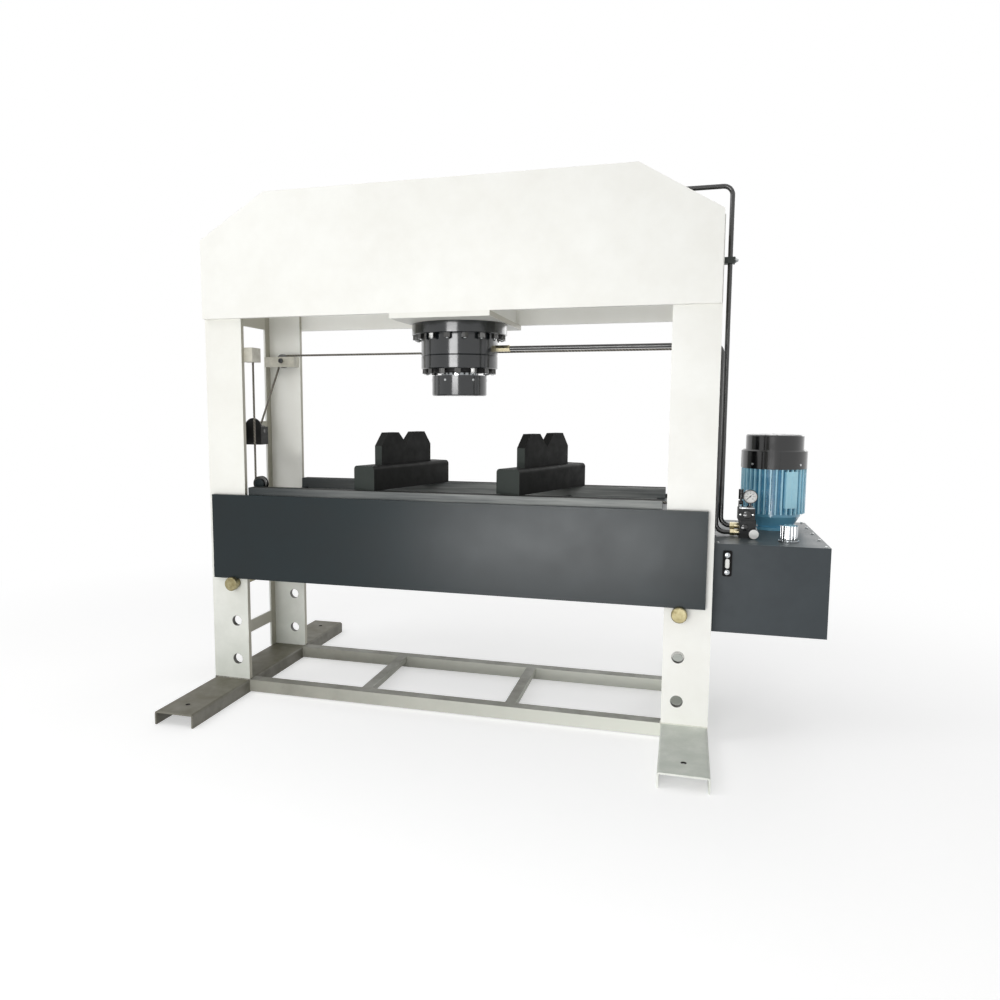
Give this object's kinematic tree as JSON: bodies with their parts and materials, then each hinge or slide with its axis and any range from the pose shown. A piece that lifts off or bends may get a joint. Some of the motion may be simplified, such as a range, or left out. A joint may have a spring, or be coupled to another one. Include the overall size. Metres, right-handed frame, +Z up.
{
  "type": "hydraulic press",
  "caption": "H-frame workshop hydraulic press with a pinned adjustable bed, loose V-blocks, a rope bed lift and a side-mounted motor power unit.",
  "frame": {"origin": "on the floor, under the axis of the ram, midway between the uprights", "axes": "+X along the bed towards the power unit, -Y towards the operator, +Z up"},
  "size_m": [2.956, 1.65, 2.476],
  "materials": {
    "ivory_paint": "satin ivory paint",
    "base_paint": "worn grey cream paint",
    "bracket_paint": "light grey paint",
    "cylinder_paint": "semi gloss dark grey paint",
    "bright_steel": "bright machined steel",
    "hard_chrome": "polished hard chrome",
    "seal_rubber": "black seal rubber",
    "pipe_paint": "dark grey painted pipe",
    "brass": "plain brass",
    "tank_paint": "satin dark grey paint",
    "window_glass": "clear window",
    "motor_paint": "gloss blue paint",
    "black_gloss": "gloss black",
    "valve_iron": "dark phosphated iron",
    "cap_white": "white plastic",
    "needle_black": "black needle",
    "winch_paint": "black paint",
    "drum_steel": "plain steel",
    "wire_rope": "stranded steel wire",
    "bed_paint": "satin slate paint",
    "rail_steel": "worn steel",
    "block_iron": "black mill scale",
    "pin_plating": "yellow passivated zinc"
  },
  "bodies": {
    "frame": {"base_cross_bars": "base_paint", "base_rails": "base_paint", "cylinder_barrel": "cylinder_paint", "cylinder_bolts": "bright_steel", "cylinder_gland": "cylinder_paint", "cylinder_mount_plate": "ivory_paint", "fan_cover": "black_gloss", "filler_neck": "hard_chrome", "gauge_case": "black_gloss", "gauge_dial": "cap_white", "head_front_plate": "ivory_paint", "head_rear_plate": "ivory_paint", "head_ribs": "ivory_paint", "left_fall": "wire_rope", "left_foot": "base_paint", "left_front_upright": "ivory_paint", "left_rear_upright": "ivory_paint", "lower_pipe": "pipe_paint", "motor_bell": "motor_paint", "motor_body": "motor_paint", "oil_tank": "tank_paint", "pipe_fittings": "brass", "pump": "tank_paint", "right_fall": "wire_rope", "right_foot": "base_paint", "right_front_upright": "ivory_paint", "right_rear_upright": "ivory_paint", "rope_run": "wire_rope", "sheave_brackets": "bracket_paint", "side_brackets": "ivory_paint", "side_ties": "ivory_paint", "sight_gauge": "bright_steel", "sight_window": "window_glass", "tank_lid": "tank_paint", "upper_pipe": "pipe_paint", "valve_block": "valve_iron", "winch_housing": "winch_paint"},
    "ram": {"piston": "bright_steel", "piston_seals": "seal_rubber", "ram_rod": "hard_chrome", "ram_nose": "cylinder_paint"},
    "bed": {"bed_front_plate": "bed_paint", "bed_rear_plate": "bed_paint", "bed_rails": "rail_steel", "bed_ribs": "bed_paint", "bed_rope": "wire_rope", "left_v_block": "block_iron", "right_v_block": "block_iron"},
    "left_pin": {"left_pin": "pin_plating"},
    "right_pin": {"right_pin": "pin_plating"},
    "valve_lever": {"valve_lever": "black_gloss"},
    "relief_cap": {"relief_cap": "cap_white"},
    "gauge_needle": {"gauge_needle": "needle_black"},
    "rotor": {"motor_rotor": "bright_steel"},
    "filler_cap": {"filler_cap": "hard_chrome"},
    "left_sheave": {"left_sheave": "bright_steel"},
    "right_sheave": {"right_sheave": "bright_steel"},
    "bed_left_pulley": {"bed_left_pulley": "bright_steel"},
    "bed_right_pulley": {"bed_right_pulley": "bright_steel"},
    "winch_drum": {"winch_drum": "drum_steel"}
  },
  "joints": [
    {"name": "ram_stroke", "type": "slide", "parent": "frame", "child": "ram", "axis": [0, 0, -1], "range_m": [0, 0.25]},
    {"name": "bed_lift", "type": "slide", "parent": "frame", "child": "bed", "axis": [0, 0, 1], "range_m": [0, 0.2], "deforming": ["left_fall", "right_fall"]},
    {"name": "left_pin_pull", "type": "slide", "parent": "frame", "child": "left_pin", "axis": [0, -1, 0], "range_m": [0, 0.75]},
    {"name": "right_pin_pull", "type": "slide", "parent": "frame", "child": "right_pin", "axis": [0, -1, 0], "range_m": [0, 0.75]},
    {"name": "valve_lever_tilt", "type": "hinge", "parent": "frame", "child": "valve_lever", "pos_m": [1.349, 0.022, 1.025], "axis": [1, 0, 0], "range_deg": [-20, 20], "stiffness_Nm_per_rad": 2},
    {"name": "relief_cap_turn", "type": "hinge", "parent": "frame", "child": "relief_cap", "pos_m": [1.402, -0.07, 0.894], "axis": [0, 1, 0], "range_deg": [-360, 360]},
    {"name": "gauge_needle_turn", "type": "hinge", "parent": "frame", "child": "gauge_needle", "pos_m": [1.385, -0.033, 1.059], "axis": [0, 1, 0], "range_deg": [0, 270], "stiffness_Nm_per_rad": 0.0005},
    {"name": "motor_spin", "type": "hinge", "parent": "frame", "child": "rotor", "pos_m": [1.517, 0.338, 1], "axis": [0, 0, 1], "continuous": true},
    {"name": "filler_cap_lift", "type": "slide", "parent": "frame", "child": "filler_cap", "axis": [0, 0, 1], "range_m": [0, 0.05]},
    {"name": "left_sheave_turn", "type": "hinge", "parent": "frame", "child": "left_sheave", "pos_m": [-1.108, 0.258, 1.718], "axis": [0, 1, 0], "range_deg": [-770, 0]},
    {"name": "right_sheave_turn", "type": "hinge", "parent": "frame", "child": "right_sheave", "pos_m": [1.108, 0.258, 1.718], "axis": [0, 1, 0], "range_deg": [-770, 0]},
    {"name": "bed_left_pulley_turn", "type": "hinge", "parent": "bed", "child": "bed_left_pulley", "pos_m": [-0.985, -0.235, 1.0713], "axis": [0, 1, 0], "range_deg": [-385, 0]},
    {"name": "bed_right_pulley_turn", "type": "hinge", "parent": "bed", "child": "bed_right_pulley", "pos_m": [1.138, 0.228, 1.0713], "axis": [1, 0, 0], "range_deg": [0, 385]},
    {"name": "winch_drum_turn", "type": "hinge", "parent": "frame", "child": "winch_drum", "pos_m": [-1.16, 0.051, 1.33], "axis": [1, 0, 0], "range_deg": [0, 925]}
  ],
  "couplings": [
    {"joint": "left_sheave_turn", "follows": "bed_lift", "rad_per_m": -66.667},
    {"joint": "right_sheave_turn", "follows": "bed_lift", "rad_per_m": -66.667},
    {"joint": "bed_left_pulley_turn", "follows": "bed_lift", "rad_per_m": -33.333},
    {"joint": "bed_right_pulley_turn", "follows": "bed_lift", "rad_per_m": 33.333},
    {"joint": "winch_drum_turn", "follows": "bed_lift", "rad_per_m": 80}
  ]
}
